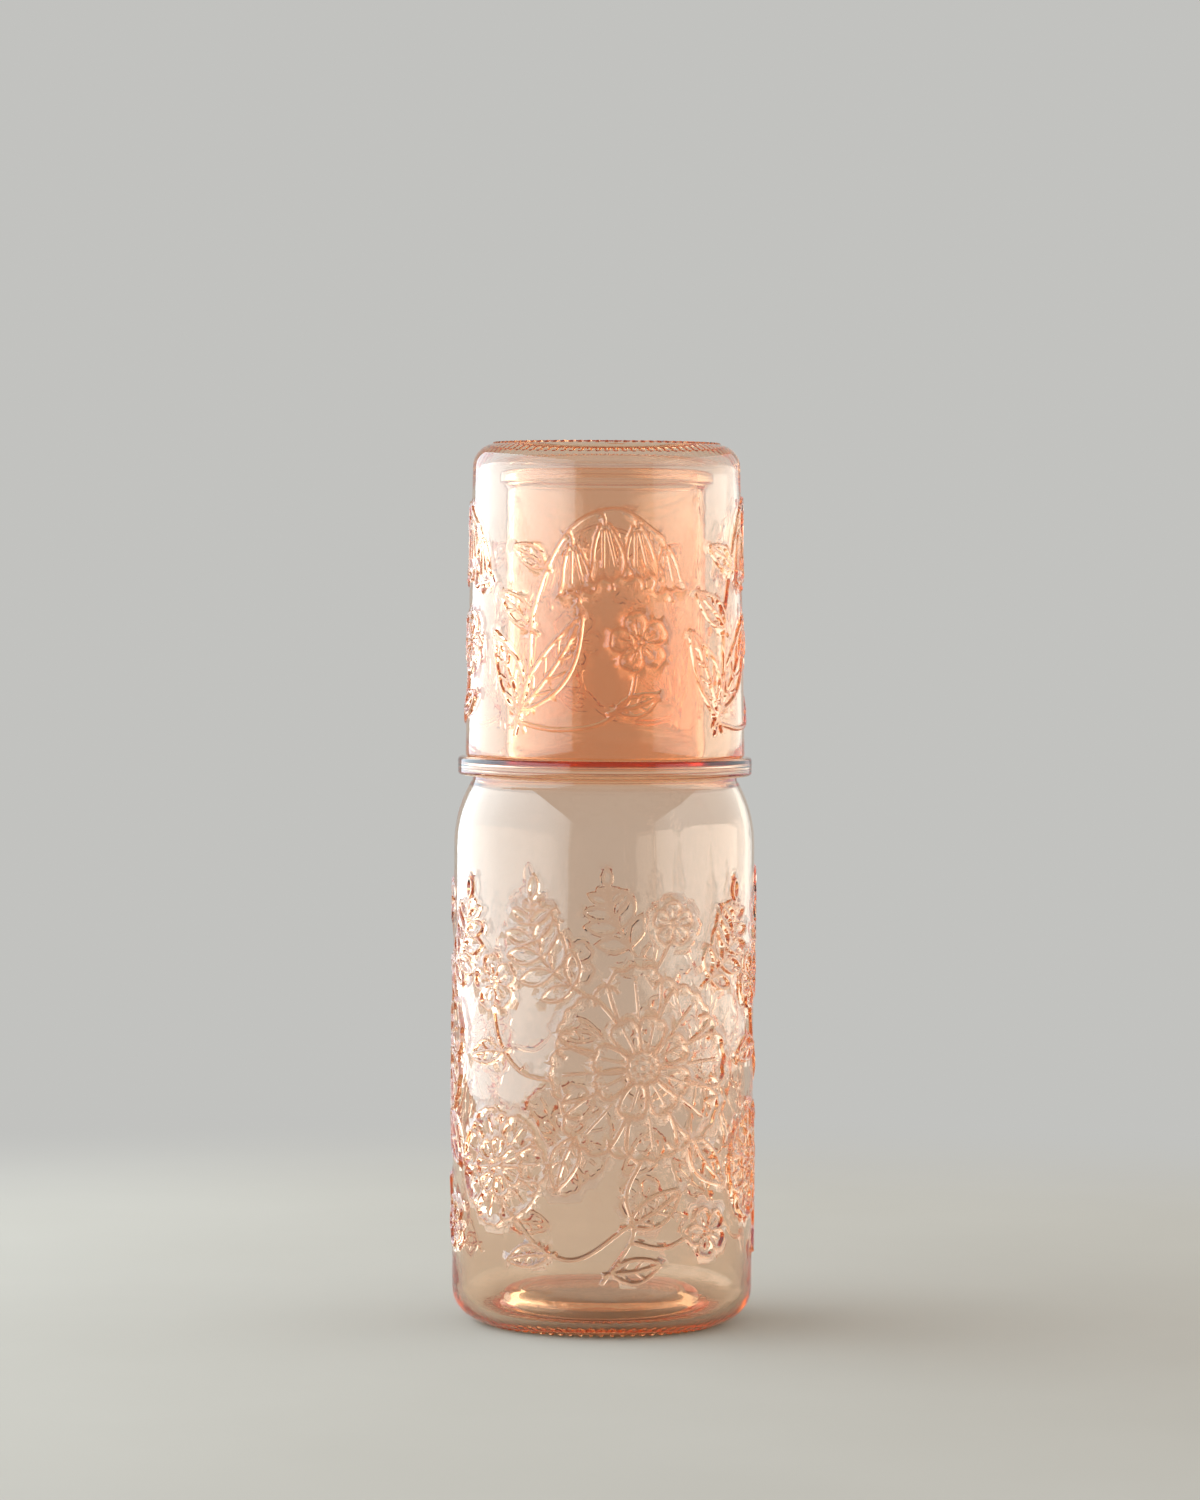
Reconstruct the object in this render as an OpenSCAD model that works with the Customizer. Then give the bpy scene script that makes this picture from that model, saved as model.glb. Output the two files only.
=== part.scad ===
// Bedside carafe with a tumbler, two pieces of tinted moulded glass.
// The tumbler stands mouth-down over the carafe's neck and rests on its collar as a cover.
// Millimetres, +Z up, origin at the middle of the face that the carafe stands on.

/* [Carafe body] */
// Outside diameter of the body
body_d = 90; // [76:1:120]
// Height from the table to the top of the collar
collar_top = 169.5; // [120:0.5:230]
// Wall of the body
body_wall = 2.4; // [1.6:0.1:4]
// Radius of the heel, where the outside wall turns into the base
heel_r = 10; // [4:0.5:12]
// Radius inside, where the wall turns into the floor
floor_r = 7.6; // [4:0.1:12]
// Thickness of the floor round its step, down to the foot
floor_t = 3.4; // [3:0.1:8]
// Height of the step that the push-up makes in the floor
floor_step = 5.4; // [2:0.1:6.4]
// Width of the flat floor between the step and the wall's radius
floor_ring = 1; // [0.6:0.1:12]
// Rise of the push-up under the base
punt_rise = 5; // [1:0.1:5.4]
// How far the push-up's edge lies inside the step's
punt_inset = 4; // [3:0.1:8]
// Width of the curve at the edge of the step and of the push-up
step_w = 8; // [6:0.5:12]

/* [Shoulder and collar] */
// Radius of the shoulder's curve
shoulder_r = 38; // [24:1:50]
// How far the groove under the collar is set in from the body
groove_inset = 5.4; // [3:0.1:8]
// Height of the groove between the shoulder and the collar
groove_h = 1.3; // [0.6:0.1:3]
// How far the collar stands out from the groove
collar_overhang = 4.4; // [2.5:0.1:6]
// Thickness of the collar at its edge
collar_t = 5.6; // [4:0.1:9]
// Rounding of the collar's two edges
collar_round = 1.1; // [0.4:0.1:1.8]
// Wall of the collar's edge, behind which it is hollow
collar_wall = 2; // [1.4:0.1:3]
// Thickness of the collar's top wall
shelf_t = 1.6; // [1.4:0.1:2.2]
// Thickness of the collar's bottom wall
lip_t = 1.1; // [0.9:0.1:1.6]
// Rounding inside, where the collar's bottom wall turns down into the shoulder
lip_round = 1.1; // [0.5:0.1:1.6]

/* [Neck] */
// Free width between the rim bead and the tumbler's wall
neck_gap = 6; // [3:0.1:10]
// Wall of the neck
neck_wall = 2.2; // [1.6:0.1:3.2]
// Height of the neck above the collar
neck_h = 86; // [50:1:120]
// How far the rim bead stands out from the neck
bead_overhang = 2.2; // [1.2:0.1:3]
// Height of the rim bead
bead_h = 4; // [3:0.1:6]
// Rounding of the bead's edges and of the lip inside
bead_round = 0.9; // [0.4:0.1:1.1]
// Height of the taper from the neck out to the bead
bead_taper = 2.4; // [1:0.1:5]
// Radius at the foot of the neck, outside
root_r = 7; // [1:0.5:9]
// Radius at the foot of the neck, inside
throat_r = 8; // [1:0.5:10]

/* [Tumbler] */
// Width of collar left showing round the tumbler's rim
ledge = 2.2; // [1.8:0.1:4]
// Wall of the tumbler
tumbler_wall = 2; // [1.6:0.1:3]
// Draft of the wall, in degrees
tumbler_draft = 1.2; // [0:0.1:2]
// Free height between the neck's rim and the tumbler's base
head_gap = 4.4; // [1:0.1:12]
// Thickness of the tumbler's base, with its knurling
tumbler_base_t = 3.4; // [2.6:0.1:8]
// Radius where the tumbler's wall turns into its base, outside
tumbler_heel_r = 7; // [2:0.5:9]
// Radius where the tumbler's wall turns into its base, inside
tumbler_corner_r = 5; // [1:0.5:6]
// Rounding of the drinking rim's two edges
rim_round = 0.9; // [0.3:0.05:0.95]
// Depth of the hollow in the tumbler's base
tumbler_punt_rise = 0.9; // [0.5:0.1:1.2]

/* [Foot knurling] */
// Bars under the carafe
carafe_bars = 72; // [24:4:96]
// Bars on the tumbler's base
tumbler_bars = 80; // [24:4:96]
// Width of a bar
bar_w = 1; // [0.5:0.1:1.5]
// Length of a bar
bar_len = 3.6; // [2:0.1:5]
// How far the bars reach on to the curve of the heel
bar_reach = 1; // [0:0.1:1.4]
// Height of the bars and of the foot ring beside them
bar_h = 0.45; // [0.2:0.05:0.8]
// Width of the plain foot ring inside the bars
foot_w = 2.4; // [1:0.1:4]

/* [Hidden] */
$fn = 96;
// Steps in which each arc of an outline is drawn
arc_steps = 12;
// How far the foot ring and its bars run into the glass that carries them
foot_sink = 0.3;
// Narrow flat that is left beside a rounding that would otherwise use up its wall
least_flat = 0.2;
// Glass that is left between the push-up and the floor
least_floor = 3;
glass_tint = [0.95, 0.74, 0.62, 0.6];

body_r = body_d / 2;
inside_r = body_r - body_wall;
groove_r = body_r - groove_inset;
collar_r = groove_r + collar_overhang;
collar_bottom = collar_top - collar_t;
ceiling_z = collar_top - shelf_t;
step_r = inside_r - floor_r - floor_ring;
punt_r = min(foot_in_r(body_r - heel_r), step_r - punt_inset);
punt = min(punt_rise, floor_t + floor_step - bar_h - least_floor);
neck_top = collar_top + neck_h;
bead_bottom = neck_top - bead_h;

// The tumbler's two wall lines lean in by the draft and touch the roundings at both ends.
rim_r = min(rim_round, (tumbler_wall - least_flat) / 2);
tumbler_ceiling = neck_top + head_gap;
tumbler_top = tumbler_ceiling + tumbler_base_t;
rim_c = [collar_r - ledge - rim_r, collar_top + rim_r];
rim_in_c = rim_c - [(tumbler_wall - 2 * rim_r) / cos(tumbler_draft), 0];
tumbler_heel_c = leaning(rim_r - tumbler_heel_r, tumbler_top - bar_h - tumbler_heel_r);
tumbler_corner_c = leaning(rim_r - tumbler_wall - tumbler_corner_r, tumbler_ceiling - tumbler_corner_r);

// The neck takes its width from the tumbler that has to pass over its bead, and its foot stays clear
// of the tumbler's rim.
bead_r = leaning(rim_r - tumbler_wall, neck_top)[0] - neck_gap;
neck_r = bead_r - bead_overhang;
bore_r = neck_r - neck_wall;
root = min(root_r, rim_in_c[0] - rim_r - neck_r - least_flat);

// The shoulder is an arc that leaves the wall upright and ends at the groove.
shoulder_angle = acos(1 - groove_inset / shoulder_r);
shoulder_z = collar_bottom - groove_h - shoulder_r * sin(shoulder_angle);
shoulder_c = [body_r - shoulder_r, shoulder_z];

// Inside, the shoulder's inner arc ends at the groove, and a lip turns out from there into the hollow
// of the collar.
shoulder_in_r = shoulder_r - body_wall;
shoulder_in_angle = asin((collar_bottom - groove_h - shoulder_z) / shoulder_in_r);
collar_in_r = shoulder_c[0] + shoulder_in_r * cos(shoulder_in_angle);
lip_c = [collar_in_r + lip_round, collar_bottom + lip_t - lip_round];
hollow_edge = collar_r - collar_wall;
hollow_h = collar_t - shelf_t - lip_t;
hollow_round = min((hollow_h - least_flat) / 2, hollow_edge - lip_c[0] - least_flat);
hollow_c_r = hollow_edge - hollow_round;
throat = min(throat_r, hollow_c_r - bore_r - least_flat);

// Points of an arc about a centre, from one angle to another.
function arc(centre, r, from, to) =
  [for (i = [0:arc_steps]) let (a = from + (to - from) * i / arc_steps) centre + r * [cos(a), sin(a)]];

// Place at height z that lies the given distance outside the rim's rounding, square to the leaning wall.
function leaning(distance, z) =
  [rim_c[0] + (distance - (z - rim_c[1]) * sin(tumbler_draft)) / cos(tumbler_draft), z];

// Raised middle of a base, from the axis out to radius r at height 0: flat at height rise, then two
// equal arcs, one bending down and one levelling out, over the step's width.
function raised(r, rise) =
  let (
    turn = 2 * atan(rise / step_w),
    bend = step_w / (2 * sin(turn)),
    out = arc([r, bend], bend, 270 - turn, 270)
  )
  concat(
    [[0, rise]],
    arc([r - step_w, rise - bend], bend, 90, 90 - turn),
    [for (i = [1:arc_steps]) out[i]]
  );

// Half outline of a foot: the hollow in its middle, then the heel's curve up to an angle past level.
function foot(heel_c_r, heel_r, hollow_r, hollow, lean) = concat(
  raised(hollow_r, hollow),
  arc([heel_c_r, heel_r], heel_r, -90, lean)
);

// Inner radius of the foot ring on a base whose heel curve ends at radius r.
function foot_in_r(r) = r + bar_reach - bar_len - foot_w;

// Outline turned upside down about a height, and run through backwards.
function upturned(points, z) = [for (i = [len(points) - 1:-1:0]) [points[i][0], z - points[i][1]]];

// Plain foot ring with a circle of short bars round it, on a base whose underside is at height 0.
module knurled_foot(heel_c_r, heel_r, bars) {
  ring_r = foot_in_r(heel_c_r) + foot_w;
  sink = foot_sink + heel_r - sqrt(pow(heel_r, 2) - pow(bar_reach, 2));
  translate([0, 0, -bar_h])
    linear_extrude(height = bar_h + sink) {
      difference() {
        circle(r = ring_r);
        circle(r = ring_r - foot_w);
      }
      for (i = [0:bars - 1])
        rotate(i * 360 / bars)
          translate([ring_r - foot_w / 2, -bar_w / 2])
            square([bar_len + foot_w / 2, bar_w]);
    }
}

// Carafe: body, shoulder, collar and neck moulded as one piece of glass.
module carafe() {
  heel_c_r = body_r - heel_r;
  floor_half = raised(step_r, floor_step);
  outside = concat(
    [for (p = foot(heel_c_r, heel_r, punt_r, punt, 0)) p + [0, bar_h]],
    arc(shoulder_c, shoulder_r, 0, shoulder_angle),
    [[groove_r, collar_bottom]],
    arc([collar_r - collar_round, collar_bottom + collar_round], collar_round, -90, 0),
    arc([collar_r - collar_round, collar_top - collar_round], collar_round, 0, 90),
    arc([neck_r + root, collar_top + root], root, 270, 180),
    [[neck_r, bead_bottom - bead_taper]],
    arc([bead_r - bead_round, bead_bottom + bead_round], bead_round, -90, 0),
    arc([bead_r - bead_round, neck_top - bead_round], bead_round, 0, 90)
  );
  inside = concat(
    arc([bore_r + bead_round, neck_top - bead_round], bead_round, 90, 180),
    arc([bore_r + throat, ceiling_z + throat], throat, 180, 270),
    arc([hollow_c_r, ceiling_z - hollow_round], hollow_round, 90, 0),
    arc([hollow_c_r, collar_bottom + lip_t + hollow_round], hollow_round, 0, -90),
    arc(lip_c, lip_round, 90, 180),
    arc(shoulder_c, shoulder_in_r, shoulder_in_angle, 0),
    arc([inside_r - floor_r, floor_t + floor_r], floor_r, 0, -90),
    [for (i = [len(floor_half) - 1:-1:0]) floor_half[i] + [0, floor_t]]
  );
  color(glass_tint)
    union() {
      rotate_extrude() polygon(concat(outside, inside));
      translate([0, 0, bar_h]) knurled_foot(heel_c_r, heel_r, carafe_bars);
    }
}

// Tumbler: mouth down, as it stands over the neck.
module tumbler() {
  base_z = tumbler_top - bar_h;
  heel_c_r = tumbler_heel_c[0];
  outline = concat(
    arc(rim_c, rim_r, -90, tumbler_draft),
    upturned(
      foot(heel_c_r, tumbler_heel_r, foot_in_r(heel_c_r), tumbler_punt_rise, -tumbler_draft), base_z
    ),
    [[0, tumbler_ceiling]],
    arc(tumbler_corner_c, tumbler_corner_r, 90, tumbler_draft),
    arc(rim_in_c, rim_r, 180 + tumbler_draft, 270)
  );
  color(glass_tint)
    union() {
      rotate_extrude() polygon(outline);
      translate([0, 0, base_z])
        mirror([0, 0, 1])
          knurled_foot(heel_c_r, tumbler_heel_r, tumbler_bars);
    }
}

carafe();
tumbler();
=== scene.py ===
# %% [markdown]
# # A bedside carafe and its tumbler
# The set is two pieces of peach-tinted moulded glass: a carafe with a wide neck, and a tumbler that
# stands upside down over the neck and rests on the carafe's collar. Both carry a raised line drawing
# of plants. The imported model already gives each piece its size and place, so this lesson loads it as
# a fixed frame and dresses it: camera, light, the two walls of glass with their relief, and the tint.

import bpy
import numpy as np
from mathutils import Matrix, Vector
from mathutils.geometry import delaunay_2d_cdt


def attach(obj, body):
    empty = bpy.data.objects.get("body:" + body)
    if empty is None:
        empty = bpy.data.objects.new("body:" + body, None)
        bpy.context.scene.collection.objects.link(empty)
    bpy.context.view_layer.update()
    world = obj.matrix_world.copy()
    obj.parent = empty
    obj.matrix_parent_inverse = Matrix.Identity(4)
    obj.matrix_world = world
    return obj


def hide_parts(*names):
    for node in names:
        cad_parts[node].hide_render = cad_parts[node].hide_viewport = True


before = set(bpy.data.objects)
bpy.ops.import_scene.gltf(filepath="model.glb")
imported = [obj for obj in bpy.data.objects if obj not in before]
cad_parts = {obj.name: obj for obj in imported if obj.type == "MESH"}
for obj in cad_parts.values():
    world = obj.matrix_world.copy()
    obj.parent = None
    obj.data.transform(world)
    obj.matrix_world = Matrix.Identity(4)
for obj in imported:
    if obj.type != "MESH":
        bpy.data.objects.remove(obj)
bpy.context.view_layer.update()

MM = 0.001

# %% [markdown]
# ## The camera
# The set was photographed from a little above level, through a long lens, which keeps the ellipses of
# the rims flat. A camera can be placed by eye, or worked out from those ellipses: how much rounder the
# foot looks than the tumbler's rim gives the distance and the height. The second way needs no fitting.

# %% The camera
SENSOR = 36.0
FRAME_HEIGHT = 1500
FOCAL_PIXELS = 5200
CAMERA_AT = (-0.0018, -1.557, 0.2249)
LOOK_DOWN = 1.97
CAMERA_ROLL = -0.35

camera_data = bpy.data.cameras.new("photo_camera")
camera_data.sensor_width = SENSOR
camera_data.lens = SENSOR * FOCAL_PIXELS / FRAME_HEIGHT
camera = bpy.data.objects.new("photo_camera", camera_data)
camera.location = CAMERA_AT
camera.rotation_euler = np.radians((90 - LOOK_DOWN, CAMERA_ROLL, 0))
bpy.context.scene.collection.objects.link(camera)
bpy.context.scene.camera = camera
bpy.context.scene.view_settings.view_transform = "Standard"
print("lens in mm:", round(camera_data.lens, 1))

# %% [markdown]
# ## Light paths
# In a glass with two skins, inside a second glass with two more, a ray crosses eight surfaces before
# it leaves, and at the edges it is thrown back many times on the way. Blender stops following a ray
# after a few bounces, which would leave black edges. More bounces cost little here, since most rays
# leave early.

# %% Light paths
GLASS_BOUNCES = 32

paths = bpy.context.scene.cycles
paths.max_bounces = GLASS_BOUNCES
paths.transmission_bounces = GLASS_BOUNCES
paths.glossy_bounces = GLASS_BOUNCES
print("bounces for light in glass:", paths.max_bounces)

# %% [markdown]
# ## Floor, backdrop and light
# Glass has no colour of its own to light: it shows what stands behind it and mirrors what stands
# beside it. So the studio matters as much as the material. A pale world is the backdrop on all sides,
# and a pale floor fades into it, so no wall stands in the way of a view from behind. Two large soft
# panels, a strong one on the left and a weak one on the right, give the long pale sheets of light
# that run down such glass. They are area lamps, because those can be mirrored without being seen, and
# a little cool, as daylight is beside the warm glass.

# %% Node helpers
def add_node(tree, kind, values=None, **settings):
    """New node of a kind, with settings by attribute name and input values by socket name or number."""
    made = tree.nodes.new(kind)
    for name, value in settings.items():
        setattr(made, name, value)
    for socket, value in (values or {}).items():
        made.inputs[socket].default_value = value
    return made


def join(tree, *wires):
    """Wires of a tree, each a node, its output's name or number, a node and its input's."""
    for source, out_of, target, into in wires:
        tree.links.new(source.outputs[out_of], target.inputs[into])


def set_stops(ramp, stops):
    """Fill a colour ramp with stops of (place from 0 to 1, colour), in rising order."""
    elements = ramp.color_ramp.elements
    while len(elements) < len(stops):
        elements.new(0.5)
    for element, (at, colour) in zip(elements, stops):
        element.position = at
        element.color = colour


def new_material(name):
    """Empty node material, with its tree and its output node."""
    material = bpy.data.materials.new(name)
    material.use_nodes = True
    material.node_tree.nodes.clear()
    output = add_node(material.node_tree, "ShaderNodeOutputMaterial")
    return material, material.node_tree, output


# %% The world
BACKDROP = (0.54, 0.54, 0.522, 1.0)
CEILING = (0.54, 0.52, 0.49, 1.0)
CEILING_FROM = 0.30
CEILING_TO = 0.85

world = bpy.data.worlds.new("studio")
bpy.context.scene.world = world
world.use_nodes = True
sky = world.node_tree
sky.nodes.clear()
direction = add_node(sky, "ShaderNodeTexCoord")
split = add_node(sky, "ShaderNodeSeparateXYZ")
height_share = add_node(
    sky, "ShaderNodeMapRange", {"From Min": CEILING_FROM, "From Max": CEILING_TO},
    interpolation_type="SMOOTHSTEP",
)
shade = add_node(sky, "ShaderNodeMix", {"A": BACKDROP, "B": CEILING}, data_type="RGBA")
background = add_node(sky, "ShaderNodeBackground", {"Strength": 1.0})
sky_output = add_node(sky, "ShaderNodeOutputWorld")
join(
    sky,
    (direction, "Generated", split, 0),
    (split, "Z", height_share, "Value"),
    (height_share, "Result", shade, "Factor"),
    (shade, "Result", background, "Color"),
    (background, 0, sky_output, "Surface"),
)
print("backdrop:", BACKDROP[:3])


# %% The floor
FLOOR_DROP = 0.0001
FLOOR_RADIUS = 8.0
FADE_FROM = 0.28
FADE_TO = 0.58
FLOOR_RINGS = (0.05, 0.2, 0.5, 1.0, 2.0, FLOOR_RADIUS)
FLOOR_SECTORS = 96
FLOOR_DARK = (0.54, 0.485, 0.42, 1.0)
FLOOR_LIGHT = (0.585, 0.53, 0.465, 1.0)


def disc(radii, sectors):
    """Flat disc as a polar grid: each ring of vertices is a circle of the next radius."""
    turn = np.linspace(0, 2 * np.pi, sectors, endpoint=False)
    ring = np.column_stack([np.cos(turn), np.sin(turn), np.zeros(sectors)])
    points = (np.asarray(radii)[:, None, None] * ring).reshape(-1, 3)
    start = np.arange(len(radii) - 1)[:, None] * sectors
    here = start + np.arange(sectors)
    after = start + (np.arange(sectors) + 1) % sectors
    quads = np.stack([here, here + sectors, after + sectors, after], -1).reshape(-1, 4)
    return points, quads.tolist() + [list(range(sectors))]


points, faces = disc(FLOOR_RINGS, FLOOR_SECTORS)
floor_mesh = bpy.data.meshes.new("studio_floor")
floor_mesh.from_pydata((points - [0, 0, FLOOR_DROP]).tolist(), [], faces)
floor = bpy.data.objects.new("studio_floor", floor_mesh)
bpy.context.scene.collection.objects.link(floor)

floor_material, tree, output = new_material("pale_floor")
place = add_node(tree, "ShaderNodeTexCoord")
grain = add_node(tree, "ShaderNodeTexNoise", {"Scale": 9.0, "Detail": 6.0})
tones = add_node(tree, "ShaderNodeMix", {"A": FLOOR_DARK, "B": FLOOR_LIGHT}, data_type="RGBA")
matt = add_node(tree, "ShaderNodeBsdfDiffuse")
far = add_node(tree, "ShaderNodeEmission", {"Color": BACKDROP, "Strength": 1.0})
away = add_node(tree, "ShaderNodeVectorMath", operation="LENGTH")
fade = add_node(
    tree, "ShaderNodeMapRange", {"From Min": FADE_FROM, "From Max": FADE_TO},
    interpolation_type="SMOOTHSTEP",
)
blend = add_node(tree, "ShaderNodeMixShader")
join(
    tree,
    (place, "Object", grain, "Vector"),
    (grain, "Fac", tones, "Factor"),
    (tones, "Result", matt, "Color"),
    (place, "Object", away, 0),
    (away, "Value", fade, "Value"),
    (fade, "Result", blend, 0),
    (matt, 0, blend, 1),
    (far, 0, blend, 2),
    (blend, 0, output, "Surface"),
)
floor_mesh.materials.append(floor_material)
print("floor faces:", len(floor_mesh.polygons))


# %% The two panels
def soft_panel(name, white, azimuths, distance, heights, glow_stops):
    """Upright area lamp that spans the given azimuths as seen from the set, 0 being the camera's side
    and positive to the right. Its radiance follows stops of (share of the way from its camera end,
    radiance); an area lamp's power is its radiance times pi times its area."""
    middle = np.radians(sum(azimuths) / 2)
    outward = Vector((np.sin(middle), -np.cos(middle), 0))
    lamp = bpy.data.lights.new(name, "AREA")
    lamp.shape = "RECTANGLE"
    lamp.size = 2 * distance * np.tan(np.radians(abs(azimuths[1] - azimuths[0])) / 2)
    lamp.size_y = heights[1] - heights[0]
    lamp.energy = np.pi * lamp.size * lamp.size_y
    lamp.color = white
    lamp.use_nodes = True
    tree = lamp.node_tree
    glow = tree.nodes["Emission"]
    spot = add_node(tree, "ShaderNodeNewGeometry")
    split = add_node(tree, "ShaderNodeSeparateXYZ")
    to_the_right = azimuths[1] > azimuths[0]
    ends = {"From Min": 1 - to_the_right, "From Max": to_the_right}
    share = add_node(tree, "ShaderNodeMapRange", ends)
    ramp = add_node(tree, "ShaderNodeValToRGB")
    brightest = max(radiance for _, radiance in glow_stops)
    set_stops(ramp, [(at, (*[radiance / brightest] * 3, 1.0)) for at, radiance in glow_stops])
    strength = add_node(tree, "ShaderNodeMath", {1: brightest}, operation="MULTIPLY")
    join(
        tree,
        (spot, "Parametric", split, 0),
        (split, "X", share, "Value"),
        (share, "Result", ramp, 0),
        (ramp, "Color", strength, 0),
        (strength, 0, glow, "Strength"),
    )
    panel = bpy.data.objects.new(name, lamp)
    panel.location = outward * distance + Vector((0, 0, sum(heights) / 2))
    panel.rotation_euler = outward.to_track_quat("Z", "Y").to_euler()
    panel.visible_camera = False
    bpy.context.scene.collection.objects.link(panel)
    print(name, "width and height in m:", round(lamp.size, 2), round(lamp.size_y, 2))


PANEL_HEIGHTS = (0.0, 0.72)
KEY_WHITE = (0.81, 1.0, 1.14)
KEY_SPAN = (-27, -152)
KEY_AWAY = 0.62
KEY_GLOW = ((0, 0.9), (0.55, 3.6), (0.8, 2.8), (1, 2.1))
FILL_WHITE = (0.84, 0.97, 1.04)
FILL_SPAN = (40, 156)
FILL_AWAY = 0.80
FILL_GLOW = ((0, 0.5), (0.28, 1.4), (0.5, 1.3), (0.75, 0.95), (1, 0.6))

soft_panel("key_panel", KEY_WHITE, KEY_SPAN, KEY_AWAY, PANEL_HEIGHTS, KEY_GLOW)
soft_panel("fill_panel", FILL_WHITE, FILL_SPAN, FILL_AWAY, PANEL_HEIGHTS, FILL_GLOW)

# %% [markdown]
# ## Turned walls
# Both pieces were blown or pressed in round moulds, so their walls are turned shapes: an outline
# carried round the axis. A Screw modifier could do it, but here the relief and the foot's bars have
# to grow out of the same skin, so the rings are worked out with numpy and joined by hand. Glass needs
# both of its skins, inside and outside, as one closed surface, or light would bend wrongly in it.
# Lengths are in millimetres until the mesh is made.

# %% Outlines and rings
WAVES = ((1.0, 3, 1 / 19, 0), (0.7, 5, -1 / 13, 1), (0.5, 8, 1 / 31, 2))


def arc(centre, radius, start, stop, steps):
    """Points (r, z) of a circle about a centre, evenly spaced from one angle to another in degrees."""
    turn = np.radians(np.linspace(start, stop, steps + 1))
    return np.column_stack([centre[0] + radius * np.cos(turn), centre[1] + radius * np.sin(turn)])


def rise(start, stop, steps):
    """Points (r, z) evenly spaced on the straight line between two places, both ends left out."""
    share = np.linspace(0, 1, steps + 1)[1:-1, None]
    return np.asarray(start) * (1 - share) + np.asarray(stop) * share


def ripple(angle, z, size):
    """Slow unevenness of a glass wall: a sum of sines of the angle, each drifting with the height. A wave
    is its share, its turns round the axis, its drift for each millimetre and its start."""
    waves = sum(share * np.sin(turns * angle + drift * z + start) for share, turns, drift, start in WAVES)
    return size * waves / sum(wave[0] for wave in WAVES)


def carried_round(r, z, angle):
    """Places at radius r, height z and an angle from the front: x = r sin(angle), y = -r cos(angle)."""
    return np.stack(np.broadcast_arrays(r * np.sin(angle), -r * np.cos(angle), z), -1)


def turned_rings(outline, columns, unevenness=0.0):
    """One ring of points for each place of the outline, at the columns' angles, with a ripple in r."""
    r, z = outline[..., :1], outline[..., 1:]
    if outline.ndim == 3:
        r, z = outline[..., 0], outline[..., 1]
    return carried_round(r + ripple(columns, z, unevenness), z, columns)


def ring_normals(rings, columns):
    """Normal at each point of the rings: the way round crossed with the way along the outline. Each way
    is the slope of the parabola through a point and its two neighbours."""
    around = np.concatenate([rings[:, -2:], rings, rings[:, :2]], axis=1)
    angles = np.concatenate([columns[-2:] - 2 * np.pi, columns, columns[:2] + 2 * np.pi])
    run = np.concatenate([[0], np.cumsum(np.linalg.norm(np.diff(rings[:, 0], axis=0), axis=1))])
    normal = np.cross(np.gradient(around, angles, axis=1)[:, 2:-2], np.gradient(rings, run, axis=0))
    return normal / np.linalg.norm(normal, axis=2, keepdims=True)


print("waves in a wall:", len(WAVES))

# %% [markdown]
# ## The knurled foot
# Under the carafe, and on the tumbler's base, a ring of short raised bars runs round a plain foot
# ring. In the mould it keeps the hot glass off the belt. Inside the ring the base is pushed up, flat
# in its middle, so the piece stands on the ring alone. The bars could be boxes stuck on the base, but
# moulded bars melt into the curve beside them. So the outline is worked out twice, once through the
# gap between two bars and once along a bar's crest, and the columns of the mesh take turns.

# %% Foot outlines
BAR_H = 0.45
BAR_FLANK = (-0.62, -0.38, 0.38, 0.62)
BAR_WEIGHT = (0, 1, 1, 0)
BAR_INSET = 0.8
RING_INSETS = (5.0, 2.6)
RING_EDGE = ((-0.30, 0.45), (-0.05, 0.40), (0.0, 0.25), (0.06, 0.08), (0.25, 0.0))
RING_TUCK = 0.4
BAR_START = (-0.30, -0.06, 0.04, 0.12, 0.35)
GAP_START_Z = (0, 0.05, 0.20, 0.38, 0.45)
BAR_END = (0.0, 0.55, 0.80, 0.96, 1.06, 1.25)
BAR_END_Z = (0, 0, 0.05, 0.20, 0.42)
STEP_W = 8.0


def raised_middle(radius, height):
    """Outline (r, z) of a base pushed up in its middle: flat near the axis, then two equal arcs over
    STEP_W, one bending down and one levelling out at the radius. Each turns by twice the angle whose
    tangent is the height over STEP_W."""
    turn = 2 * np.arctan2(height, STEP_W)
    bend = STEP_W / (2 * np.sin(turn))
    top = radius - STEP_W
    down = arc((top, height - bend), bend, 90, 90 - np.degrees(turn), 6)
    level = arc((radius, bend), bend, 270 - np.degrees(turn), 270, 6)[1:]
    return np.vstack([[(0.15 * top, height), (0.6 * top, height)], down, level])


def foot_outlines(heel_at, heel_r, hollow, lean):
    """Two outlines of a foot that stands on z = 0, from near the axis to the end of the heel: through a
    gap and along a bar. A raised middle, the ring BAR_H below it, then the heel's circle at heel_at."""
    ring_in, ring_out = (heel_at - inset for inset in RING_INSETS)
    middle = raised_middle(ring_in - RING_TUCK, hollow) + [0, BAR_H]
    inner = np.array(RING_EDGE) + [ring_in, 0]
    end = np.array(BAR_END)
    r = np.concatenate([np.array(BAR_START) + ring_out, heel_at + end])
    heel_z = BAR_H + heel_r - np.sqrt(heel_r**2 - end**2)
    heel_start = np.degrees(np.arcsin(end[-1] / heel_r)) - 90
    heel = arc((heel_at, BAR_H + heel_r), heel_r, heel_start, lean, 10)[1:]
    gap_z = np.concatenate([GAP_START_Z, heel_z])
    bar_z = np.concatenate([np.zeros(len(BAR_START)), BAR_END_Z, heel_z[-1:]])
    return [np.vstack([middle, inner, np.column_stack([r, z]), heel]) for z in (gap_z, bar_z)]


def bar_columns(bars, heel_at):
    """Angles of the mesh's columns, four to a bar: the foot and the crest of each of its two flanks."""
    middle = -np.pi + 2 * np.pi * np.arange(bars) / bars
    return (middle[:, None] + np.array(BAR_FLANK) / (heel_at - BAR_INSET)).ravel()


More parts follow.
